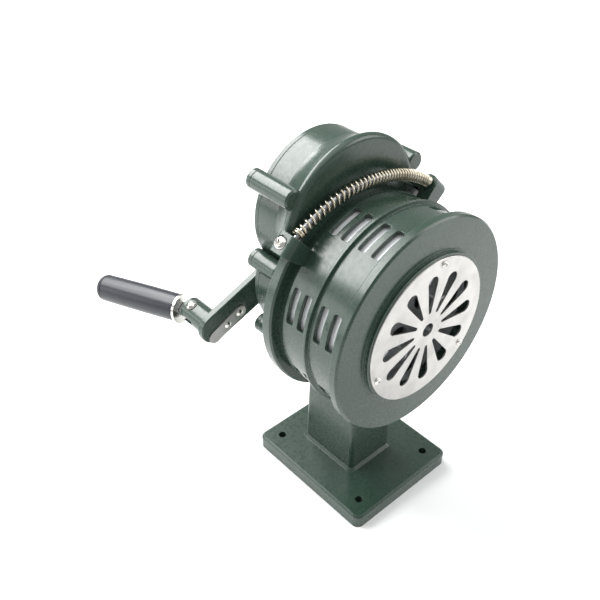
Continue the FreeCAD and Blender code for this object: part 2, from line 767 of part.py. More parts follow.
def radial(degrees):
    return V(math.cos(math.radians(degrees)), 0, math.sin(math.radians(degrees)))


def case_plate(y0, y1):
    """Both lobes and all ears, as a flat plate."""
    return fuse([lobe_outline(case_upper_r, case_lower_r, y0, y1)] + ears(y0, y1))


def cover_gasket():
    """Flat gasket between the gear case and its rear cover."""
    y0 = case_rear_y
    y1 = cover_inner_y
    opening = lobe_outline(case_upper_r - case_wall, case_lower_r - case_wall, y0, y1)
    return case_plate(y0, y1).cut(opening).cut(cover_screw_holes(y0, y1))


def rear_cover():
    plate = case_plate(cover_inner_y, cover_outer_y)
    raised = turned((
        (0, cover_outer_y - lap),
        (cover_step_r, cover_outer_y - lap),
        (cover_step_r, cover_outer_y + cover_step_h),
        (cover_boss_r + cover_step_h, cover_outer_y + 2 * cover_step_h),
        (cover_boss_r, cover_boss_y),
        (0, cover_boss_y),
    ))
    inner = rod(cover_boss_r, cover_boss_inner_y, cover_inner_y + lap)
    upper_boss_r = rear_bush_r + bush_boss_wall
    upper_boss = rod(upper_boss_r, rear_bush_y[0], cover_inner_y + lap, upper_z)
    cap = rod(upper_boss_r, cover_outer_y - lap, cover_outer_y + cover_step_h, upper_z)
    cover = fuse([plate, raised, inner, upper_boss, cap])
    cover = cover.cut(rod(crank_bush_r, cover_boss_inner_y, cover_boss_y))
    cover = cover.cut(rod(rear_bush_r, rear_bush_y[0], rear_bush_y[1], upper_z))
    return cover.cut(cover_screw_holes(cover_inner_y, cover_outer_y))


def cover_screws():
    screws = []
    length = cover_outer_y - case_rear_y + cover_screw_grip
    for angle, distance, _, upper in screw_bosses:
        c = boss_centre(angle, distance, upper)
        screws.append(pan_screw(m5_pan, length, V(c.x, cover_outer_y, c.z), Y_AXIS))
    return group(screws)


# --------------------------------------------------------------------- bearings
def rotor_bearings():
    rings = []
    for y0 in bearing_at:
        rings.append(tube(bearing_r, shaft_r + running_gap, y0, y0 + bearing_w))
    return group(rings)


def intermediate_bushes():
    front = tube(bush_outer_r, shaft_r + running_gap, bush_front_y, bush_rear_y, upper_z)
    rear = tube(rear_bush_r, shaft_small_r + running_gap, rear_bush_y[0], rear_bush_y[1], upper_z)
    return group([front, rear])


def crank_bush():
    return tube(crank_bush_r, crank_shaft_r + running_gap, cover_boss_inner_y, cover_boss_y)


# ------------------------------------------------------------------ carry handle
def lug_screw_places():
    """Seat, outward direction and length under the head of each lug screw."""
    places = []
    for side, _, _, _, height in lugs:
        outward = radial(90 - side * (lug_seat + lug_side) / 2)
        seat_r = (drum_r + height) * math.cos(math.radians((lug_side - lug_seat) / 2)) - lug_recess
        seat = V(0, lug_screw_y, drum_z) + outward * seat_r
        places.append((seat, outward, seat_r - flange_r + lug_screw_depth))
    return places


def lug_screw_holes():
    holes = []
    for seat, outward, length in lug_screw_places():
        holes.append(rod_along(m5_pan[0], seat - outward * length, outward, length))
        holes.append(rod_along(m5_pan[1] + screw_head_clear, seat, outward, lug_h))
    return group(holes)


def lug_block(side, height, y0, y1):
    """Block on the stator between the seat face and the outer side."""
    corners = (
        (drum_r - lug_sink, lug_side),
        (drum_r + height, lug_side),
        (drum_r + height, lug_seat),
        (drum_r - lug_sink, lug_seat),
    )
    points = [polar(r, 90 - side * angle, y0) for r, angle in corners]
    return Part.Face(Part.makePolygon(points + points[:1])).extrude(V(0, y1 - y0, 0))


def lug(side, reach, pad_rear, rear_r, _):
    """Handle lug on the stator: rounded outer pad, seat face for the coil and a foot on the flange."""
    pad_y = (flange_y[1] - reach, flange_y[1] - pad_rear)
    pad = lug_block(side, lug_h, pad_y[0], pad_y[1])
    for y, radius in zip(pad_y, (lug_front_r, rear_r)):
        outer = V(0, y, drum_z) + radial(90 - side * (lug_seat + lug_side) / 2) * (drum_r + lug_h)
        pad = pad.makeFillet(radius, [min(pad.Edges, key=lambda e: (e.CenterOfMass - outer).Length)])
    solid = pad.fuse(lug_block(side, lug_foot_h, pad_y[0] + lug_front_r, flange_y[1])).removeSplitter()
    solid = solid.cut(rod(drum_r, pad_y[0], flange_y[1]))
    solid = solid.cut(rod(flange_r, drum_rear_y, flange_y[1]))
    solid = solid.cut(rod(bulge_rim_r + lug_case_gap, bulge_face_y - lug_case_gap, case_rear_y, upper_z))
    return solid.cut(handle_pipe(handle_core_r, handle_core_sink)).cut(lug_screw_holes())


def handle_pipe(radius, extra):
    """Solid bar of the handle's bend, with each end lengthened."""
    reach = math.radians(handle_half_angle) + extra / handle_r
    middle_angle = math.pi / 2
    left_angle = middle_angle + reach
    right_angle = middle_angle - reach

    def at(a):
        return V(handle_r * math.cos(a), 0, handle_centre_z + handle_r * math.sin(a))

    path = Part.Wire([Part.Arc(at(left_angle), at(middle_angle), at(right_angle)).toShape()])
    tangent = V(-math.sin(left_angle), 0, math.cos(left_angle))
    profile = Part.Wire([Part.Circle(at(left_angle), tangent, radius).toShape()])
    pipe = path.makePipeShell([profile], True, False)
    pipe.rotate(V(0, 0, 0), Z_AXIS, handle_skew)
    pipe.translate(V(0, handle_y, 0))
    return pipe


def handle_spring():
    """The closed coil as a tube of its outside and inside diameters."""
    return handle_pipe(handle_coil_r, 0.0).cut(handle_pipe(handle_coil_r - handle_coil_wire, lap))


def lug_screws():
    return group([pan_screw(m5_pan, length, seat, outward) for seat, outward, length in lug_screw_places()])


# ------------------------------------------------------------------------ rotor
def rotor():
    """Chopper rotor: slotted rim, centre web, hub and radial vanes in one casting."""
    rim = tube(rotor_r, rotor_r - rotor_wall, rotor_y[0], rotor_y[1])
    web = rod(rotor_r - lap, rotor_web_y[0], rotor_web_y[1])
    hub = rod(rotor_hub_r, rotor_hub_y[0], rotor_hub_y[1])
    vane_z = (drum_z - vane_t / 2, drum_z + vane_t / 2)
    vane = block(vane_inner_r, rotor_r - lap, rotor_y[0], rotor_y[1], vane_z[0], vane_z[1])
    vanes = around(vane, slot_count, first=slot_first)
    body = fuse([rim, web, hub] + vanes)
    hole = rod(rotor_hole_r, rotor_web_y[0], rotor_web_y[1])
    hole.translate(V(rotor_hole_pitch_r, 0, 0))
    holes = around(hole, slot_count, first=slot_first + slot_pitch / 2)
    body = body.cut(group(slots(slot_pitch / 2) + holes))
    return body.cut(rod(shaft_r, rotor_hub_y[0], rotor_hub_y[1]))


def rotor_shaft():
    thread_end = rotor_hub_y[0] - rotor_washer_t - rotor_nut_t - thread_proud
    main = rod(shaft_r, rotor_hub_y[0], pinion_seat_y)
    front = rod(shaft_small_r, thread_end, rotor_hub_y[0])
    rear = rod(shaft_small_r, pinion_seat_y, pinion_seat_y + pinion_width)
    return fuse([main, front, rear])


def rotor_washer():
    return tube(rotor_washer_r, shaft_small_r, rotor_hub_y[0] - rotor_washer_t, rotor_hub_y[0])


def rotor_nut():
    y1 = rotor_hub_y[0] - rotor_washer_t
    nut = hexagon(rotor_nut_af, V(0, y1 - rotor_nut_t, drum_z), Y_AXIS, rotor_nut_t)
    return nut.cut(rod(shaft_small_r, y1 - rotor_nut_t, y1))


def rotor_pinion():
    half_tooth = 180.0 / pinion_teeth
    body = gear(pinion_teeth, pinion_addendum, pinion_seat_y, pinion_width, drum_z, 90 + half_tooth)
    return body.cut(rod(shaft_small_r, pinion_seat_y, pinion_seat_y + pinion_width))


# ------------------------------------------------------------ intermediate shaft
def wheel(y0, z, tooth_at, bore_r, hub_y):
    """Large gear with a thin web, lightening holes and a hub."""
    blank = gear(wheel_teeth, wheel_addendum, y0, wheel_width, z, tooth_at)
    rim_in = pitch_wheel_r - dedendum - wheel_rim_t
    side = (wheel_width - wheel_web_t) / 2
    pocket_front = tube(rim_in, wheel_hub_r, y0, y0 + side, z)
    pocket_rear = tube(rim_in, wheel_hub_r, y0 + wheel_width - side, y0 + wheel_width, z)
    blank = blank.cut(pocket_front).cut(pocket_rear)
    hole = rod(wheel_hole_r, y0, y0 + wheel_width, z, (rim_in + wheel_hub_r) / 2)
    blank = blank.cut(group(around(hole, wheel_hole_count, z, 180.0 / wheel_hole_count)))
    hub = rod(wheel_hub_r, hub_y[0], hub_y[1], z)
    return blank.fuse(hub).removeSplitter().cut(rod(bore_r, hub_y[0], hub_y[1], z))


def intermediate_gear():
    return wheel(front_wheel_y, upper_z, -90.0, shaft_r, (front_wheel_y, inter_step_y))


def intermediate_shaft():
    large = rod(shaft_r, bush_front_y + shaft_end_gap, inter_step_y, upper_z)
    small = rod(shaft_small_r, inter_step_y, rear_bush_y[1] - shaft_end_gap, upper_z)
    return fuse([large, small])


def intermediate_pinion():
    half_tooth = 180.0 / pinion_teeth
    body = gear(pinion_teeth, pinion_addendum, inter_pinion_y, pinion_width, upper_z, -90 + half_tooth)
    return body.cut(rod(shaft_small_r, inter_pinion_y, inter_pinion_y + pinion_width, upper_z))


# ------------------------------------------------------------ crank shaft, ratchet
def crank_gear():
    body = wheel(rear_wheel_y, drum_z, 90.0, crank_shaft_r, crank_gear_hub_y)
    for start in pawl_angles:
        pivot = polar(pawl_pivot_r, start)
        boss_rear = rear_wheel_y + wheel_width
        boss = rod(pawl_eye_r, rear_wheel_y + wheel_width / 2, boss_rear, pivot.z, pivot.x)
        hole = rod(pawl_pin_r, rear_wheel_y + wheel_width / 2, boss_rear, pivot.z, pivot.x)
        body = body.fuse(boss).cut(hole)
    return body.removeSplitter()


def gear_retainer():
    y1 = crank_gear_hub_y[0]
    y0 = y1 - retainer_t
    ring = tube(crank_shaft_r + retainer_w, crank_shaft_r - retainer_groove, y0, y1)
    gap = block(-retainer_gap / 2, retainer_gap / 2, y0, y1, drum_z, drum_z + 2 * crank_shaft_r)
    return ring.cut(gap)


def flatted(radius, across, y0, y1):
    """Round bar with two flats that face along the crank arm's width."""
    bar = rod(radius, y0, y1)
    keep = block(-radius, radius, y0, y1, drum_z - across / 2, drum_z + across / 2)
    return about_axis(bar.common(keep), crank_angle)


def crank_shaft():
    retainer_y = crank_gear_hub_y[0] - retainer_t
    end_y = arm_y[1] + crank_washer_t + crank_nut_t + thread_proud
    main = rod(crank_shaft_r, retainer_y - retainer_land, cover_boss_y + arm_clear)
    collar = rod(collar_r, cover_boss_y + arm_clear, arm_y[0])
    stub = flatted(stub_r, stub_flats, arm_y[0], arm_y[1])
    thread = rod(stub_flats / 2, arm_y[1], end_y)
    body = fuse([main, collar, stub, thread])
    groove = tube(crank_shaft_r + lap, crank_shaft_r - retainer_groove, retainer_y, retainer_y + retainer_t)
    return body.cut(groove)


def ratchet_wheel():
    """Saw-tooth wheel fixed to the crank shaft."""
    pitch = 360.0 / ratchet_teeth
    points = []
    for i in range(ratchet_teeth):
        points.append(polar(ratchet_root_r, i * pitch, ratchet_y[0]))
        points.append(polar(ratchet_tip_r, (i + 1) * pitch, ratchet_y[0]))
    body = Part.Face(Part.makePolygon(points + points[:1])).extrude(V(0, ratchet_y[1] - ratchet_y[0], 0))
    return body.cut(rod(crank_shaft_r, ratchet_y[0], ratchet_y[1]))


def ratchet_pawls():
    """Pawls on the crank gear, each resting against one tooth's radial face."""
    pawls = []
    for start in pawl_angles:
        corners = (
            (ratchet_root_r + pawl_nose[0], start - pawl_lead),
            (ratchet_tip_r + pawl_nose[1], start - pawl_lead),
            (pawl_pivot_r + pawl_back[0], start - pawl_heel),
            (pawl_pivot_r - pawl_back[1], start - pawl_heel),
        )
        points = [polar(r, a, ratchet_y[0]) for r, a in corners]
        outline = Part.Face(Part.makePolygon(points + points[:1]))
        plate = outline.extrude(V(0, ratchet_y[1] - ratchet_y[0], 0))
        pivot = polar(pawl_pivot_r, start)
        eye = rod(pawl_eye_r, ratchet_y[0], ratchet_y[1], pivot.z, pivot.x)
        hole = rod(pawl_pin_r, ratchet_y[0], ratchet_y[1], pivot.z, pivot.x)
        pawls.append(plate.fuse(eye).removeSplitter().cut(hole))
    return group(pawls)


def pawl_springs():
    """Torsion springs on the pawl pins: a coil and one straight leg."""
    springs = []
    for start in pawl_angles:
        pivot = polar(pawl_pivot_r, start)
        y0 = ratchet_y[1]
        coil = tube(pawl_pin_r + pawl_wire, pawl_pin_r, y0, y0 + pawl_wire, pivot.z, pivot.x)
        leg_z = drum_z + pawl_pin_r
        leg = block(pawl_pivot_r, pawl_pivot_r + pawl_leg, y0, y0 + pawl_wire / 2, leg_z, leg_z + pawl_wire)
        springs.append(coil.fuse(about_axis(leg, start)).removeSplitter())
    return group(springs)


def pawl_pins():
    pins = []
    for start in pawl_angles:
        pivot = polar(pawl_pivot_r, start)
        top_y = ratchet_y[1] + pawl_wire
        stem = rod(pawl_pin_r, rear_wheel_y + wheel_width / 2, top_y, pivot.z, pivot.x)
        head = rod(pawl_pin_r + pawl_wire, top_y, top_y + pawl_head_t, pivot.z, pivot.x)
        pins.append(stem.fuse(head).removeSplitter())
    return group(pins)


# --------------------------------------------------------------------- crank arm
def on_arm(along, across, y):
    """Point at a distance along the arm and across its width."""
    return V(0, y, drum_z) + arm_dir * along + arm_normal * across


def crank_arm():
    bar = stadium(arm_hub_r, arm_end_r, crank_r).extrude(V(0, arm_y[1] - arm_y[0], 0))
    edges = [e for e in bar.Edges if abs(e.BoundBox.YLength) < 0.01]
    bar = bar.makeChamfer(arm_edge, edges)
    bar.translate(V(0, arm_y[0], drum_z))
    bar = about_axis(bar, crank_angle)
    boss = rod(end_boss_r, arm_y[1] - lap, fold_pin_y + fork_end, crank_end.z, crank_end.x)
    body = bar.fuse(boss).removeSplitter()
    half = arm_normal * (fork_gap / 2)
    reach = arm_dir * (end_boss_r + lap)
    floor = crank_end + V(0, fold_pin_y - tang_r - tang_side_gap, 0)
    points = [floor - reach - half, floor - reach + half, floor + reach + half, floor + reach - half]
    fork_depth = fork_end + tang_r + tang_side_gap
    slot = Part.Face(Part.makePolygon(points + points[:1])).extrude(V(0, fork_depth, 0))
    body = body.cut(slot)
    pin = rod_along(fold_pin_r, fold_point - arm_normal * end_boss_r, arm_normal, 2 * end_boss_r)
    body = body.cut(pin).cut(flatted(stub_r, stub_flats, arm_y[0], arm_y[1]))
    for along, across in rivet_places():
        at = on_arm(along, across, arm_y[0])
        body = body.cut(rod_along(rivet_r, at, Y_AXIS, rivet_depth))
    return body


def rivet_places():
    along, across = leaf_start
    return ((along + rivet_along[0], across), (along + rivet_along[1], across - rivet_drop))


def latch_leaf():
    """Flat steel leaf riveted to the arm's front face."""
    start = on_arm(leaf_start[0], leaf_start[1], 0)
    end = on_arm(leaf_end[0], leaf_end[1], 0)
    run = end - start
    plate = stadium(leaf_r, leaf_r, run.Length).extrude(V(0, leaf_t, 0))
    plate.rotate(V(0, 0, 0), Y_AXIS, -math.degrees(math.atan2(run.z, run.x)))
    plate.translate(start + V(0, arm_y[0] - leaf_t, 0))
    for along, across in rivet_places():
        at = on_arm(along, across, arm_y[0] - leaf_t)
        plate = plate.cut(rod_along(rivet_r, at, Y_AXIS, leaf_t))
    return plate


def leaf_rivets():
    rivets = []
    for along, across in rivet_places():
        seat = on_arm(along, across, arm_y[0] - leaf_t)
        stem = rod_along(rivet_r, seat, Y_AXIS, leaf_t + rivet_depth)
        rivets.append(stem.fuse(dome(seat, -Y_AXIS, rivet_head_r, rivet_ball_r)).removeSplitter())
    return group(rivets)


def crank_washer():
    return tube(crank_washer_r, stub_flats / 2, arm_y[1], arm_y[1] + crank_washer_t)


def crank_nut():
    base = V(0, arm_y[1] + crank_washer_t, drum_z)
    nut = hexagon(crank_nut_af, base, Y_AXIS, crank_nut_t)
    return nut.cut(rod(stub_flats / 2, base.y, base.y + crank_nut_t))


def fold_pin():
    """Cross pin of the folding grip, with a domed head on the upper side."""
    reach = end_boss_r + fold_pin_proud
    stem = rod_along(fold_pin_r, fold_point - arm_normal * reach, arm_normal, 2 * reach)
    head = dome(fold_point + arm_normal * reach, arm_normal, fold_pin_head_r, fold_pin_ball_r)
    return stem.fuse(head).removeSplitter()


# -------------------------------------------------------------------------- grip
def on_grip(distance):
    return fold_point + grip_dir * distance


def grip_rod():
    """Tang on the fold pin and the rod that the grip turns on."""
    half = arm_normal * (tang_t / 2)
    eye = rod_along(tang_r, fold_point - half, arm_normal, tang_t)
    side = arm_normal.cross(grip_dir)
    corner = fold_point - half - side * grip_rod_r
    points = [corner, corner + side * (2 * grip_rod_r)]
    reach = grip_dir * (ferrule_start - ferrule_gap)
    points += [points[1] + reach, points[0] + reach]
    neck = Part.Face(Part.makePolygon(points + points[:1])).extrude(half * 2)
    bar = rod_along(grip_rod_r - rod_thin, on_grip(tang_r), grip_dir, rod_end - tang_r)
    body = fuse([eye, neck, bar])
    hole = rod_along(fold_pin_r + running_gap, fold_point - half, arm_normal, tang_t)
    return body.cut(hole)


def grip():
    start, end = grip_span
    body = rod_along(grip_r, on_grip(start), grip_dir, end - start)
    body = body.cut(rod_along(grip_bore_r, on_grip(start), grip_dir, end - start))
    return body.cut(rod_along(cap_recess_r, on_grip(end - nut_recess), grip_dir, nut_recess))


def grip_ferrule():
    ring = rod_along(ferrule_r, on_grip(ferrule_start), grip_dir, ferrule_t)
    return ring.cut(rod_along(grip_bore_r, on_grip(ferrule_start), grip_dir, ferrule_t))


def grip_cap():
    """Domed plug that closes the grip's end."""
    end = on_grip(grip_span[1])
    ball_r = (grip_r ** 2 + cap_len ** 2) / (2 * cap_len)
    plug = rod_along(cap_recess_r, end - grip_dir * cap_plug, grip_dir, cap_plug)
    return dome(end, grip_dir, grip_r, ball_r).fuse(plug).removeSplitter()


def grip_washer():
    start = on_grip(grip_span[1] - nut_recess)
    ring = rod_along(cap_recess_r - washer_clear, start, grip_dir, grip_washer_t)
    return ring.cut(rod_along(grip_rod_r - rod_thin, start, grip_dir, grip_washer_t))


def grip_nut():
    start = on_grip(grip_span[1] - nut_recess) + grip_dir * grip_washer_t
    nut = hexagon(grip_nut_af, start, grip_dir, grip_nut_t)
    return nut.cut(rod_along(grip_rod_r - rod_thin, start, grip_dir, grip_nut_t))


pieces = {
    "pedestal": pedestal,
    "pedestal_bolts": pedestal_bolts,
    "stator_drum": stator_drum,
    "front_cover": front_cover,
    "grille": grille,
    "grille_screws": grille_screws,
    "rear_housing": rear_housing,
    "cover_gasket": cover_gasket,
    "rear_cover": rear_cover,
    "cover_screws": cover_screws,
    "rotor_bearings": rotor_bearings,
    "intermediate_bushes": intermediate_bushes,
    "crank_bush": crank_bush,
    "handle_lug_left": lambda: lug(*lugs[0]),
    "handle_lug_right": lambda: lug(*lugs[1]),
    "handle_core": lambda: handle_pipe(handle_core_r, handle_core_sink),
    "handle_spring": handle_spring,
    "lug_screws": lug_screws,
    "rotor": rotor,
    "rotor_shaft": rotor_shaft,
    "rotor_washer": rotor_washer,
    "rotor_nut": rotor_nut,
    "rotor_pinion": rotor_pinion,
    "intermediate_shaft": intermediate_shaft,
    "intermediate_gear": intermediate_gear,
    "intermediate_pinion": intermediate_pinion,
    "crank_shaft": crank_shaft,
    "crank_gear": crank_gear,
    "gear_retainer": gear_retainer,
    "ratchet_wheel": ratchet_wheel,
    "ratchet_pawls": ratchet_pawls,
    "pawl_springs": pawl_springs,
    "pawl_pins": pawl_pins,
    "crank_arm": crank_arm,
    "crank_washer": crank_washer,
    "crank_nut": crank_nut,
    "latch_leaf": latch_leaf,
    "leaf_rivets": leaf_rivets,
    "fold_pin": fold_pin,
    "grip_rod": grip_rod,
    "grip_washer": grip_washer,
    "grip_nut": grip_nut,
    "grip_ferrule": grip_ferrule,
    "grip": grip,
    "grip_cap": grip_cap,
}

os.makedirs("parts", exist_ok=True)
for name, make in pieces.items():
    save(name, make())
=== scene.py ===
import bmesh
import bpy
import json
import math
from mathutils import Matrix, Vector


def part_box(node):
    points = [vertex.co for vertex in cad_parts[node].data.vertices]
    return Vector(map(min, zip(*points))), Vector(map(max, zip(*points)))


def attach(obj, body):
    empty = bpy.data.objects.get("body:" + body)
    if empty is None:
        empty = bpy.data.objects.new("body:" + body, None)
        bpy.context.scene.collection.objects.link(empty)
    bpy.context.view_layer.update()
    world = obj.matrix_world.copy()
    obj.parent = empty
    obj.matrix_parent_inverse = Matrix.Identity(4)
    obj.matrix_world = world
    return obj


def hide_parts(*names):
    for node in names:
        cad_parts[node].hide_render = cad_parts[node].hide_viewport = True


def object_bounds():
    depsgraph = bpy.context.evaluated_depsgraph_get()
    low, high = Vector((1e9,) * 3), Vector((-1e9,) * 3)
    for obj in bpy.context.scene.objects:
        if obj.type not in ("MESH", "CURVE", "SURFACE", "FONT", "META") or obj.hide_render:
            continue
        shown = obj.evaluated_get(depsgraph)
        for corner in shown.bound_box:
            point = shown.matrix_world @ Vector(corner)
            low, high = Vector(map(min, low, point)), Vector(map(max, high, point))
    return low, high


# Hand-cranked siren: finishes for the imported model, and its coil, screws and grip made finer.
# The scene is in metres, so sizes given in millimetres are multiplied by this
mm = 0.001

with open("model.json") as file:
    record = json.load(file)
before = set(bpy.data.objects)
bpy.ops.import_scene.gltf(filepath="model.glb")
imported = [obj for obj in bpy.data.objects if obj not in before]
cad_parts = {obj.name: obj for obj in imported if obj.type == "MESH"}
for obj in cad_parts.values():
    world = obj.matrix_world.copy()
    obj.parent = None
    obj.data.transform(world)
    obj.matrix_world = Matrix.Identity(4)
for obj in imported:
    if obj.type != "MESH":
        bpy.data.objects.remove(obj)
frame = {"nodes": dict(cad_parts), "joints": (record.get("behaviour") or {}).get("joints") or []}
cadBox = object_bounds()
nodes = frame["nodes"]
joints = {joint["name"]: joint for joint in frame["joints"]}
collection = bpy.context.scene.collection
drumAxis = Vector(joints["crank_spin"]["pos_m"])     # the crank turns on the drum's axis
drumAxis.y = 0
print("frame loaded:", len(nodes), "nodes")


# Small helpers

def linearColour(code):
    channels = [int(code[i:i + 2], 16) / 255 for i in (1, 3, 5)]
    values = [c / 12.92 if c <= 0.04045 else ((c + 0.055) / 1.055) ** 2.4 for c in channels]
    return (*values, 1.0)


def connect(tree, node, links):
    for name, source in links.items():
        tree.links.new(source, node.inputs[name])


def addNode(tree, kind, values=None, links=None, **settings):
    node = tree.nodes.new(kind)
    for name, value in settings.items():
        setattr(node, name, value)
    for name, value in (values or {}).items():
        node.inputs[name].default_value = value
    connect(tree, node, links or {})
    return node


def newMaterial(name, values):
    # The values are the same all over the surface, so they are set on the shader itself
    material = bpy.data.materials.new(name)
    material.use_nodes = True
    tree = material.node_tree
    tree.nodes.clear()
    shader = addNode(tree, "ShaderNodeBsdfPrincipled", values)
    addNode(tree, "ShaderNodeOutputMaterial", links={"Surface": shader.outputs[0]})
    return material, tree, shader


def noiseScale(sizeMm):
    # Noise features come out about one over the scale, in metres
    return 1 / (sizeMm * mm)


def rangeValues(source, target):
    # Settings of a Map Range node that takes one range to another
    return dict(zip(("From Min", "From Max", "To Min", "To Max"), (*source, *target)))


def bumpValues(bump):
    strength, depthMm = bump
    return {"Strength": strength, "Distance": depthMm * mm}


def coatValues(coat):
    return dict(zip(("Coat Weight", "Coat Roughness"), coat))


noiseMiddle = (0.3, 0.7)        # most of a noise's values lie between these


def newPiece(name, mesh, material, body, replaced=()):
    piece = bpy.data.objects.new(name, mesh)
    collection.objects.link(piece)
    piece.data.materials.append(material)
    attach(piece, body)
    if replaced:
        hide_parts(*replaced)
    return piece


def meshFrom(bm, name, sharpDegrees=35.0):
    # Smooth shading, with the edges sharper than the given angle kept crisp
    bmesh.ops.recalc_face_normals(bm, faces=bm.faces)
    mesh = bpy.data.meshes.new(name)
    bm.to_mesh(mesh)
    bm.free()
    mesh.shade_smooth()
    mesh.set_sharp_from_angle(angle=math.radians(sharpDegrees))
    return mesh


# Materials

paintLook = {
    "colour": "#293d33",        # bottle green enamel
    "thin": "#5d7168",          # painted highlight along the edges
    "dust": "#46574e",          # film of dust, in clouds
    "roughness": (0.24, 0.34),
    "coat": (0.25, 0.15),       # weight and roughness
    "edge": 0.7,                # mm, soft edge of the casting
    "edgeTurn": (0.995, 0.90),  # cosine of the turn over an edge, from full enamel to the painted edge highlight
    "paintedHighlightMost": 0.55,           # most of the painted edge highlight
    "cloud": 26.0,              # mm
    "cloudDust": (0.45, 0.75),  # cloud values from no dust to the most
    "dustMost": 0.16,
    "orangePeel": 3.5,          # mm, waves of the sprayed enamel
    "peelBump": (0.16, 0.05),   # strength and depth in mm
    "castGrain": 1.3,           # mm, sand-cast skin under the enamel
    "grainBump": (0.22, 0.04),
}


def makePaint(name, look):
    # Stoved bottle-green enamel over a fine sand casting: soft broad highlights that break up a little
    material, tree, shader = newMaterial(name, coatValues(look["coat"]))
    place = addNode(tree, "ShaderNodeTexCoord").outputs["Object"]
    edge = addNode(tree, "ShaderNodeBevel", {"Radius": look["edge"] * mm}, samples=6)
    plain = addNode(tree, "ShaderNodeNewGeometry")
    turn = addNode(tree, "ShaderNodeVectorMath", links={0: edge.outputs[0], 1: plain.outputs["Normal"]},
                   operation="DOT_PRODUCT")
    # Painted highlight: where the bevelled normal turns away from the face's own normal, the edge is coloured
    # lighter
    edgeHighlightMask = addNode(tree, "ShaderNodeMapRange", rangeValues(look["edgeTurn"], (0.0, look["paintedHighlightMost"])),
                       {"Value": turn.outputs["Value"]})
    cloud = addNode(tree, "ShaderNodeTexNoise", {"Scale": noiseScale(look["cloud"]), "Detail": 3.0},
                    {"Vector": place})
    grain = addNode(tree, "ShaderNodeTexNoise", {"Scale": noiseScale(look["castGrain"]), "Detail": 4.0},
                    {"Vector": place})
    peel = addNode(tree, "ShaderNodeTexNoise", {"Scale": noiseScale(look["orangePeel"]), "Detail": 1.0},
                   {"Vector": place})
    dusty = addNode(tree, "ShaderNodeMapRange", rangeValues(look["cloudDust"], (0.0, look["dustMost"])),
                    {"Value": cloud.outputs["Fac"]})
    base = addNode(tree, "ShaderNodeMix", {6: linearColour(look["colour"]), 7: linearColour(look["dust"])},
                   {0: dusty.outputs[0]}, data_type="RGBA")
    # The painted edge highlight is mixed over the enamel and its dust
    colour = addNode(tree, "ShaderNodeMix", {7: linearColour(look["thin"])},
                     {0: edgeHighlightMask.outputs[0], 6: base.outputs[2]}, data_type="RGBA")
    gloss = addNode(tree, "ShaderNodeMapRange", rangeValues(noiseMiddle, look["roughness"]),
                    {"Value": peel.outputs["Fac"]})
    wave = addNode(tree, "ShaderNodeBump", bumpValues(look["peelBump"]),
                   {"Height": peel.outputs["Fac"], "Normal": edge.outputs[0]})
    bump = addNode(tree, "ShaderNodeBump", bumpValues(look["grainBump"]),
                   {"Height": grain.outputs["Fac"], "Normal": wave.outputs[0]})
    connect(tree, shader, {"Base Color": colour.outputs[2], "Roughness": gloss.outputs[0],
                           "Normal": bump.outputs[0]})
    return material


bareMetal = {
    "cloud": 14.0,              # mm, slow change of tone
    "cloudTone": (0.35, 0.7),   # cloud values from the colour to the most of the dark tone
    "darkMost": 0.6,
    "edge": 0.25,               # mm, broken edge
    "bump": 0.5,                # strength
}
metalLooks = {
    # Dark is the tone of the tarnish. Marks have a length and a width in mm, and a depth in mm.
    # The turned aluminium is dull with oxide, which scatters light as paint does, so it is half metallic
    "brushedStainless": {"colour": "#cfcdca", "dark": "#adacaa", "roughness": (0.30, 0.44),
                         "marks": (30.0, 0.35), "along": "x", "depth": 0.010},
    "turnedAluminium": {"colour": "#f3f5f6", "dark": "#e2e5e7", "roughness": (0.42, 0.55),
                        "marks": (60.0, 0.5), "along": "ring", "depth": 0.012, "metallic": 0.45},
    "nickelWire": {"colour": "#e3dccb", "dark": "#9c8f74", "roughness": (0.16, 0.28),
                   "marks": (6.0, 0.6), "along": "x", "depth": 0.006},
    "polishedStainless": {"colour": "#e6e4df", "dark": "#b9b6b0", "roughness": (0.14, 0.26),
                          "marks": (8.0, 0.6), "along": "x", "depth": 0.005},
    "groundSteel": {"colour": "#aeb0b1", "dark": "#7f8183", "roughness": (0.26, 0.38),
                    "marks": (12.0, 0.3), "along": "x", "depth": 0.008},
    "leadedBronze": {"colour": "#b98a4e", "dark": "#8a6334", "roughness": (0.28, 0.42),
                     "marks": (3.0, 1.0), "along": "x", "depth": 0.01},
}


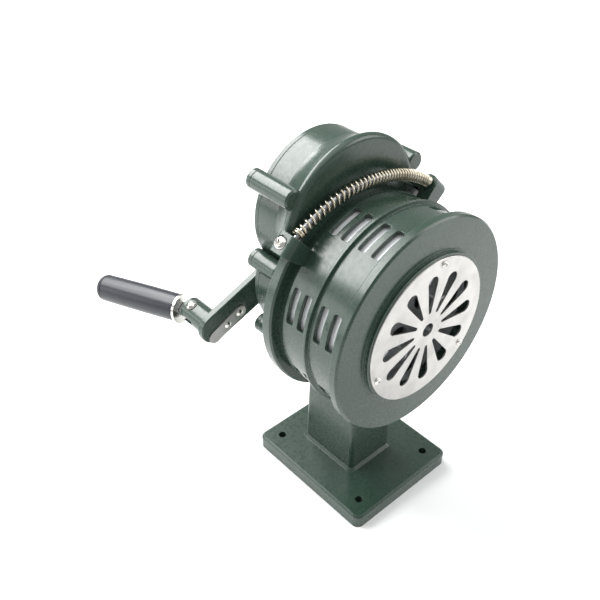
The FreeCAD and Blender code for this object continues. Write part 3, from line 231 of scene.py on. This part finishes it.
def makeMetal(name, look):
    # Bare metal: fine directional marks from its last machining, a slow change of tone and a little tarnish
    material, tree, shader = newMaterial(name, {"Metallic": look.get("metallic", 1.0)})
    place = addNode(tree, "ShaderNodeTexCoord").outputs["Object"]
    along, across = look["marks"]
    if look["along"] == "ring":
        # Turned about the drum's axis: marks change with the place along the axis and the radius only
        moved = addNode(tree, "ShaderNodeVectorMath", {1: -drumAxis}, {0: place}, operation="ADD")
        parts = addNode(tree, "ShaderNodeSeparateXYZ", links={0: moved.outputs[0]})
        flat = addNode(tree, "ShaderNodeCombineXYZ", links={0: parts.outputs[0], 1: parts.outputs[2]})
        radius = addNode(tree, "ShaderNodeVectorMath", links={0: flat.outputs[0]}, operation="LENGTH")
        source = addNode(tree, "ShaderNodeCombineXYZ",
                         links={0: radius.outputs["Value"], 1: parts.outputs[1]})
    else:
        source = addNode(tree, "ShaderNodeMapping", {"Scale": (across / along, 1.0, 1.0)}, {"Vector": place})
    marks = addNode(tree, "ShaderNodeTexNoise", {"Scale": noiseScale(across), "Detail": 3.0},
                    {"Vector": source.outputs[0]})
    cloud = addNode(tree, "ShaderNodeTexNoise", {"Scale": noiseScale(bareMetal["cloud"]), "Detail": 2.0},
                    {"Vector": place})
    edge = addNode(tree, "ShaderNodeBevel", {"Radius": bareMetal["edge"] * mm}, samples=4)
    tone = addNode(tree, "ShaderNodeMapRange",
                   rangeValues(bareMetal["cloudTone"], (0.0, bareMetal["darkMost"])),
                   {"Value": cloud.outputs["Fac"]})
    colour = addNode(tree, "ShaderNodeMix", {6: linearColour(look["colour"]), 7: linearColour(look["dark"])},
                     {0: tone.outputs[0]}, data_type="RGBA")
    gloss = addNode(tree, "ShaderNodeMapRange", rangeValues(noiseMiddle, look["roughness"]),
                    {"Value": marks.outputs["Fac"]})
    bump = addNode(tree, "ShaderNodeBump", bumpValues((bareMetal["bump"], look["depth"])),
                   {"Height": marks.outputs["Fac"], "Normal": edge.outputs[0]})
    connect(tree, shader, {"Base Color": colour.outputs[2], "Roughness": gloss.outputs[0],
                           "Normal": bump.outputs[0]})
    return material


phenolicLook = {
    "colour": "#0e1018",
    "bloom": "#191d2a",         # paler blue of the flow lines
    "roughness": (0.34, 0.46),
    "coat": (0.15, 0.2),        # weight and roughness
    "flowLines": (40.0, 1.2),   # mm along and across the grip
    "flowBump": (0.25, 0.02),   # strength and depth in mm
}


def makePhenolic(name, look, axis):
    # Moulded phenolic, black with a blue cast: worn to a satin sheen, with faint flow lines along the grip
    material, tree, shader = newMaterial(name, coatValues(look["coat"]))
    place = addNode(tree, "ShaderNodeTexCoord").outputs["Object"]
    along, across = look["flowLines"]
    turn = Vector((1, 0, 0)).rotation_difference(axis).inverted().to_euler()
    turned = addNode(tree, "ShaderNodeMapping", {"Rotation": turn}, {"Vector": place})
    source = addNode(tree, "ShaderNodeMapping", {"Scale": (across / along, 1.0, 1.0)},
                     {"Vector": turned.outputs[0]})
    flow = addNode(tree, "ShaderNodeTexNoise", {"Scale": noiseScale(across), "Detail": 3.0},
                   {"Vector": source.outputs[0]})
    colour = addNode(tree, "ShaderNodeMix", {6: linearColour(look["colour"]), 7: linearColour(look["bloom"])},
                     {0: flow.outputs["Fac"]}, data_type="RGBA")
    gloss = addNode(tree, "ShaderNodeMapRange", rangeValues(noiseMiddle, look["roughness"]),
                    {"Value": flow.outputs["Fac"]})
    bump = addNode(tree, "ShaderNodeBump", bumpValues(look["flowBump"]), {"Height": flow.outputs["Fac"]})
    connect(tree, shader, {"Base Color": colour.outputs[2], "Roughness": gloss.outputs[0],
                           "Normal": bump.outputs[0]})
    return material


fibreLook = {
    "colour": "#26251f",
    "pale": "#3d3a31",
    "roughness": 0.85,
    "fibre": 0.6,               # mm
    "fibreBump": (0.5, 0.05),   # strength and depth in mm
}


def makeFibre(name, look):
    # Oiled paper fibre gasket: dark, dull and slightly felted
    material, tree, shader = newMaterial(name, {"Roughness": look["roughness"]})
    place = addNode(tree, "ShaderNodeTexCoord").outputs["Object"]
    fibres = addNode(tree, "ShaderNodeTexNoise", {"Scale": noiseScale(look["fibre"]), "Detail": 5.0},
                     {"Vector": place})
    colour = addNode(tree, "ShaderNodeMix", {6: linearColour(look["colour"]), 7: linearColour(look["pale"])},
                     {0: fibres.outputs["Fac"]}, data_type="RGBA")
    bump = addNode(tree, "ShaderNodeBump", bumpValues(look["fibreBump"]), {"Height": fibres.outputs["Fac"]})
    connect(tree, shader, {"Base Color": colour.outputs[2], "Normal": bump.outputs[0]})
    return material


gripAxis = Vector(joints["grip_spin"]["axis"]).normalized()
materials = {name: makeMetal(name, look) for name, look in metalLooks.items()}
materials["bottleGreenEnamel"] = makePaint("bottleGreenEnamel", paintLook)
materials["navyPhenolic"] = makePhenolic("navyPhenolic", phenolicLook, gripAxis)
materials["oiledFibre"] = makeFibre("oiledFibre", fibreLook)

finishes = {
    "bottleGreenEnamel": (
        "pedestal", "stator_drum", "front_cover", "rear_housing", "rear_cover", "handle_lug_left",
        "handle_lug_right", "crank_arm"),
    "brushedStainless": ("grille", "latch_leaf"),
    "polishedStainless": (
        "grille_screws", "lug_screws", "cover_screws", "fold_pin", "leaf_rivets", "grip_ferrule",
        "crank_nut", "crank_washer", "grip_nut", "grip_washer"),
    "turnedAluminium": ("rotor",),
    "nickelWire": ("handle_spring", "pawl_springs"),
    "groundSteel": (
        "rotor_shaft", "rotor_washer", "rotor_nut", "rotor_pinion", "rotor_bearings",
        "intermediate_shaft", "intermediate_gear", "intermediate_pinion", "crank_shaft", "crank_gear",
        "gear_retainer", "ratchet_wheel", "ratchet_pawls", "pawl_pins", "grip_rod",
        "pedestal_bolts", "handle_core"),
    "leadedBronze": ("intermediate_bushes", "crank_bush"),
    "navyPhenolic": ("grip", "grip_cap"),
    "oiledFibre": ("cover_gasket",),
}
for finish, names in finishes.items():
    for name in names:
        nodes[name].data.materials.clear()
        nodes[name].data.materials.append(materials[finish])
print("materials assigned:", len(materials))


# Carry handle's coil: open at the left, nearly closed at the right, with closed end turns

coil = {
    "bendRadius": 94.5,         # sizes in mm
    "centreZ": 170.0,
    "y": -1.5,
    "skew": -4.0,               # degrees about Z
    "outerRadius": 4.5,
    "wire": 1.5,                # diameter
    "endInset": 0.75,           # in outer radii, coil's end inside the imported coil's right side
    "openPitch": 4.3,
    "closePitch": 2.6,
    "closing": (0.25, 0.4),     # shares of the length where the pitch starts to fall and that it falls over
    "endTurns": 2.5,
    "endPitch": 1.02,           # in wire diameters
    "pointsPerTurn": 14,
    "sides": 10,
    "sharpDegrees": 60.0,
}


def coilPath(s):
    # Winds along the bend: end turns lie against each other, and the pitch falls to the right
    skew = math.radians(s["skew"])
    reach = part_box("handle_spring")[1].x / mm / math.cos(skew) - s["outerRadius"] * s["endInset"]
    halfAngle = math.asin(reach / s["bendRadius"])
    length = 2 * halfAngle * s["bendRadius"]
    at, turns, points = s["wire"] / 2, 0.0, []
    radius = s["outerRadius"] - s["wire"] / 2
    closed = s["wire"] * s["endPitch"]
    closeFrom, closeOver = s["closing"]
    while at < length - s["wire"] / 2:
        share = at / length
        blend = min(1.0, max(0.0, (share - closeFrom) / closeOver))
        pitch = s["openPitch"] + (s["closePitch"] - s["openPitch"]) * blend * blend * (3 - 2 * blend)
        if turns < s["endTurns"] or at > length - s["endTurns"] * closed:
            pitch = closed
        bend = math.pi / 2 + halfAngle - at / s["bendRadius"]
        outward = Vector((math.cos(bend), 0, math.sin(bend)))
        centre = Vector((0, 0, s["centreZ"])) + outward * s["bendRadius"]
        turn = 2 * math.pi * turns
        points.append(centre + outward * (radius * math.cos(turn)) + Vector((0, radius * math.sin(turn), 0)))
        at += pitch / s["pointsPerTurn"]
        turns += 1 / s["pointsPerTurn"]
    place = Matrix.Translation((0, s["y"], 0)) @ Matrix.Rotation(skew, 4, "Z")
    return [place @ point * mm for point in points]


def sweep(points, radius, sides, sharpDegrees, name):
    # Round wire along a path, its ends closed
    bm = bmesh.new()
    rings = []
    normal = None
    for i, point in enumerate(points):
        ahead = points[min(i + 1, len(points) - 1)] - points[max(i - 1, 0)]
        ahead.normalize()
        if normal is None:
            normal = ahead.orthogonal()
        normal = (normal - ahead * normal.dot(ahead)).normalized()
        side = ahead.cross(normal)
        angles = [2 * math.pi * k / sides for k in range(sides)]
        spokes = [normal * math.cos(a) + side * math.sin(a) for a in angles]
        rings.append([bm.verts.new(point + spoke * radius) for spoke in spokes])
    for one, two in zip(rings, rings[1:]):
        for k in range(sides):
            bm.faces.new((one[k], one[(k + 1) % sides], two[(k + 1) % sides], two[k]))
    bm.faces.new(rings[0])
    bm.faces.new(rings[-1])
    return meshFrom(bm, name, sharpDegrees)


wireMesh = sweep(coilPath(coil), coil["wire"] / 2 * mm, coil["sides"], coil["sharpDegrees"], "handleCoil")
newPiece("handleCoil", wireMesh, materials["nickelWire"], "housing", ["handle_spring"])
print("handle coil wound")


# Cross-recessed pan screws, set where the model's own screws are

panHead = {
    "seat": 0.97,               # the shares of the head's radius: seat, reach and half width of the cross
    "recess": 0.62,
    "slot": 0.15,
    "skirt": 0.06,              # the shares of its height: foot bevel, rim and floor of the cross
    "rim": 0.28,
    "floor": 0.30,
    "above": 1.3,               # cutter's top, beyond the head
    "floorReach": 0.45,         # cross at its floor against its top
    "slotTaper": 0.3,           # of the cross's width that tapers with its reach
    "dome": 0.75,               # less than 1 makes the dome fuller
    "steps": 14,
    "sides": 48,
}
weldDistance = 0.002            # mm, points of a node closer than this are one


def islands(node):
    # Corner points of each separate solid in a node, always in the same order
    bm = bmesh.new()
    bm.from_mesh(nodes[node].data)
    bmesh.ops.remove_doubles(bm, verts=bm.verts, dist=weldDistance * mm)
    seen, groups = set(), []
    for start in bm.verts:
        if start in seen:
            continue
        seen.add(start)
        queue, group = [start], []
        while queue:
            vert = queue.pop()
            group.append(vert.co.copy())
            for linked in vert.link_edges:
                other = linked.other_vert(vert)
                if other not in seen:
                    seen.add(other)
                    queue.append(other)
        groups.append(group)
    bm.free()
    return groups


def lathe(profile, sides, name, sharpDegrees=35.0):
    # Turns (radius, height) points about Z. A radius of 0 closes the shape with one point
    bm = bmesh.new()
    rings = []
    for radius, height in profile:
        if radius == 0:
            rings.append([bm.verts.new((0, 0, height))])
        else:
            angles = [2 * math.pi * k / sides for k in range(sides)]
            rings.append([bm.verts.new((radius * math.cos(a), radius * math.sin(a), height)) for a in angles])
    for one, two in zip(rings, rings[1:]):
        for k in range(sides):
            following = (k + 1) % sides
            if len(one) == 1:
                bm.faces.new((one[0], two[following], two[k]))
            elif len(two) == 1:
                bm.faces.new((one[k], one[following], two[0]))
            else:
                bm.faces.new((one[k], one[following], two[following], two[k]))
    return meshFrom(bm, name, sharpDegrees)


def crossCutter(radius, height, s):
    # Tapered cross that cuts the recess
    bm = bmesh.new()
    for turned in (0, math.pi / 2):
        rows = []
        for level, grow in ((s["floor"] * height, s["floorReach"]), (height * s["above"], 1.0)):
            reach = radius * s["recess"] * grow
            half = radius * s["slot"] * (1 - s["slotTaper"] + s["slotTaper"] * grow)
            corners = [(-reach, -half), (reach, -half), (reach, half), (-reach, half)]
            spin = Matrix.Rotation(turned, 3, "Z")
            rows.append([bm.verts.new(spin @ Vector((x, y, level))) for x, y in corners])
        low, high = rows
        for k in range(4):
            bm.faces.new((low[k], low[(k + 1) % 4], high[(k + 1) % 4], high[k]))
        bm.faces.new(reversed(low))
        bm.faces.new(high)
    return meshFrom(bm, "crossCutter")


def panScrewMesh(radius, height, s, name):
    # Domed head from a flat seat, with a short skirt and a cross recess
    profile = [(0, 0), (radius * s["seat"], 0), (radius, height * s["skirt"]), (radius, height * s["rim"])]
    for i in range(1, s["steps"]):
        a = math.pi / 2 * i / s["steps"]
        level = s["rim"] + (1 - s["rim"]) * math.sin(a)
        profile.append((radius * math.cos(a) ** s["dome"], height * level))
    profile.append((0, height))
    head = bpy.data.objects.new(name, lathe(profile, s["sides"], name))
    collection.objects.link(head)
    cutter = bpy.data.objects.new("crossCutter", crossCutter(radius, height, s))
    collection.objects.link(cutter)
    cut = head.modifiers.new("recess", "BOOLEAN")
    cut.object = cutter
    cut.operation = "DIFFERENCE"
    cut.solver = "EXACT"
    cut.use_self = True
    shaped = bpy.data.meshes.new_from_object(head.evaluated_get(bpy.context.evaluated_depsgraph_get()))
    bpy.data.objects.remove(head)
    bpy.data.objects.remove(cutter)
    shaped.name = name
    return shaped


def setScrews(node, body, radius, height, axisOf, spins):
    # One new piece for all the screws of a node, each turned by its own angle
    bm = bmesh.new()
    head = panScrewMesh(radius, height, panHead, node + "Head")
    for i, group in enumerate(islands(node)):
        middle = sum(group, Vector()) / len(group)
        axis = axisOf(middle)
        top = max(point.dot(axis) for point in group)
        rim = [point for point in group if point.dot(axis) > top - height]
        centre = Vector([(min(p[k] for p in rim) + max(p[k] for p in rim)) / 2 for k in range(3)])
        centre += axis * (top - height - centre.dot(axis))
        place = Vector((0, 0, 1)).rotation_difference(axis).to_matrix().to_4x4()
        spin = Matrix.Rotation(math.radians(spins[i % len(spins)]), 4, "Z")
        place = Matrix.Translation(centre) @ place @ spin
        copy = head.copy()
        copy.transform(place)
        bm.from_mesh(copy)
        bpy.data.meshes.remove(copy)
    mesh = meshFrom(bm, node + "Heads")
    return newPiece(node + "Heads", mesh, materials["polishedStainless"], body, [node])


def awayFromDrum(point):
    out = point - drumAxis
    out.y = 0
    return out.normalized()


def forwards(point):
    return Vector((0, -1, 0))


def backwards(point):
    return Vector((0, 1, 0))


m3Head = (2.75 * mm, 1.7 * mm)  # radius and height
m5Head = (4.6 * mm, 2.9 * mm)
crossTurns = {                  # degrees, one for each screw
    "grille_screws": (20, 65, 40),
    "lug_screws": (35, 10),
    "cover_screws": (15, 50, 80, 30, 5, 60),
}
setScrews("grille_screws", "housing", *m3Head, forwards, crossTurns["grille_screws"])
setScrews("lug_screws", "housing", *m5Head, awayFromDrum, crossTurns["lug_screws"])
setScrews("cover_screws", "housing", *m5Head, backwards, crossTurns["cover_screws"])
print("screws set")


# Grip: one moulded sleeve and its domed end plug

gripShape = {
    "radius": 11.0,             # sizes in mm
    "start": 15.3,              # from the fold pin, along the grip's axis
    "end": 89.5,
    "capLength": 6.2,
    "bore": 4.1,
    "edge": 1.4,
    "waist": 0.25,              # draft of the mould towards both ends
    "seam": 0.35,
    "capFullness": 0.5,         # 1 would make the end plug a plain ellipse
    "edgeSteps": 8,
    "swellSteps": 24,
    "capSteps": 16,
    "sides": 96,
}


def gripPiece(profile, name, s, place, replaced):
    mesh = lathe([(r * mm, h * mm) for r, h in profile], s["sides"], name)
    mesh.transform(place)
    newPiece(name, mesh, materials["navyPhenolic"], "grip_body", replaced)


def gripPieces(s):
    pin = Vector(joints["grip_fold"]["pos_m"])
    place = Matrix.Translation(pin) @ Vector((0, 0, 1)).rotation_difference(gripAxis).to_matrix().to_4x4()
    radius, start, end, edge = s["radius"], s["start"], s["end"], s["edge"]
    profile = [(s["bore"], start), (radius - edge, start)]
    for i in range(1, s["edgeSteps"] + 1):
        a = math.pi / 2 * i / s["edgeSteps"]
        profile.append((radius - edge + edge * math.sin(a) - s["waist"], start + edge - edge * math.cos(a)))
    for i in range(1, s["swellSteps"]):
        share = i / s["swellSteps"]
        swell = s["waist"] * (math.sin(math.pi * share) - 1)
        profile.append((radius + swell, start + edge + (end - start - edge) * share))
    rim = radius - s["waist"]
    profile += [(rim, end - s["seam"]), (rim - s["seam"], end), (s["bore"], end), (s["bore"], start)]
    gripPiece(profile, "gripSleeve", s, place, ["grip"])
    profile = [(0, end), (rim - s["seam"], end), (rim, end + s["seam"])]
    dome = s["capLength"] - s["seam"]
    for i in range(1, s["capSteps"]):
        a = math.pi / 2 * i / s["capSteps"]
        profile.append((rim * math.cos(a) ** s["capFullness"], end + s["seam"] + dome * math.sin(a)))
    profile.append((0, end + s["seam"] + dome))
    gripPiece(profile, "gripEnd", s, place, ["grip_cap"])


gripPieces(gripShape)
print("grip turned")


# Floor, light and camera

studio = {
    "floor": "#f4f5f5",
    "floorSize": 6.0,           # metres from the middle to an edge
    "floorRoughness": 0.9,
    "tooth": 1.5,               # mm, grain of the paper
    "toothBump": (0.05, 0.05),  # strength and depth in mm
    "world": 0.50,
    "exposure": 0.0,
}
# Soft boxes aimed at the drum: places and sizes in metres, power in watts
softBoxes = {
    "backLeftTent": {"place": (-0.25, 0.90, 1.15), "size": (1.5, 0.75), "power": 37.0},
    "overhead": {"place": (0.10, -0.10, 1.50), "size": (1.4, 1.4), "power": 8.0},
    "frontRightFill": {"place": (0.95, -0.70, 0.80), "size": (0.8, 0.8), "power": 7.0},
    "leftStrip": {"place": (-0.95, 0.70, 0.36), "size": (0.5, 0.4), "power": 2.0},
}


def makeStudio():
    floor = bpy.data.meshes.new("floor")
    bm = bmesh.new()
    bmesh.ops.create_grid(bm, x_segments=1, y_segments=1, size=studio["floorSize"])
    bm.to_mesh(floor)
    bm.free()
    plain = {"Base Color": linearColour(studio["floor"]), "Roughness": studio["floorRoughness"]}
    material, tree, shader = newMaterial("paleSeamlessPaper", plain)
    place = addNode(tree, "ShaderNodeTexCoord").outputs["Object"]
    tooth = addNode(tree, "ShaderNodeTexNoise", {"Scale": noiseScale(studio["tooth"])}, {"Vector": place})
    bump = addNode(tree, "ShaderNodeBump", bumpValues(studio["toothBump"]), {"Height": tooth.outputs["Fac"]})
    connect(tree, shader, {"Normal": bump.outputs[0]})
    piece = bpy.data.objects.new("floor", floor)
    piece.location.z = cadBox[0][2]
    collection.objects.link(piece)
    piece.data.materials.append(material)
    world = bpy.data.worlds.new("studio")
    world.use_nodes = True
    background = world.node_tree.nodes["Background"]
    background.inputs["Color"].default_value = linearColour("#ffffff")
    background.inputs["Strength"].default_value = studio["world"]
    scene = bpy.context.scene
    scene.world = world
    scene.view_settings.view_transform = "Standard"
    scene.view_settings.exposure = studio["exposure"]
    for name, box in softBoxes.items():
        lamp = bpy.data.lights.new(name, "AREA")
        lamp.shape = "RECTANGLE"
        lamp.size, lamp.size_y = box["size"]
        lamp.energy = box["power"]
        light = bpy.data.objects.new(name, lamp)
        light.location = box["place"]
        aim = drumAxis - light.location
        light.rotation_euler = aim.to_track_quat("-Z", "Y").to_euler()
        collection.objects.link(light)


view = {
    "azimuth": -41.537,         # degrees
    "elevation": 37.731,
    "roll": -0.274,
    "distance": 533.79,         # mm, as are the rest
    "target": (-57.97, 0.0, 195.35),
    "lens": 47.69,
    "sensor": 36.0,
}


def makeCamera():
    data = bpy.data.cameras.new("camera")
    data.lens = view["lens"]
    data.sensor_width = view["sensor"]
    camera = bpy.data.objects.new("camera", data)
    azimuth, elevation, roll = (math.radians(view[key]) for key in ("azimuth", "elevation", "roll"))
    back = Vector((math.sin(azimuth) * math.cos(elevation), -math.cos(azimuth) * math.cos(elevation),
                   math.sin(elevation)))
    right = Vector((math.cos(azimuth), math.sin(azimuth), 0))
    up = back.cross(right)
    rolledRight = right * math.cos(roll) + up * math.sin(roll)
    rolledUp = up * math.cos(roll) - right * math.sin(roll)
    turn = Matrix((rolledRight, rolledUp, back)).transposed().to_4x4()
    camera.matrix_world = Matrix.Translation((Vector(view["target"]) + back * view["distance"]) * mm) @ turn
    collection.objects.link(camera)
    bpy.context.scene.camera = camera


makeStudio()
makeCamera()
print("studio and camera ready")
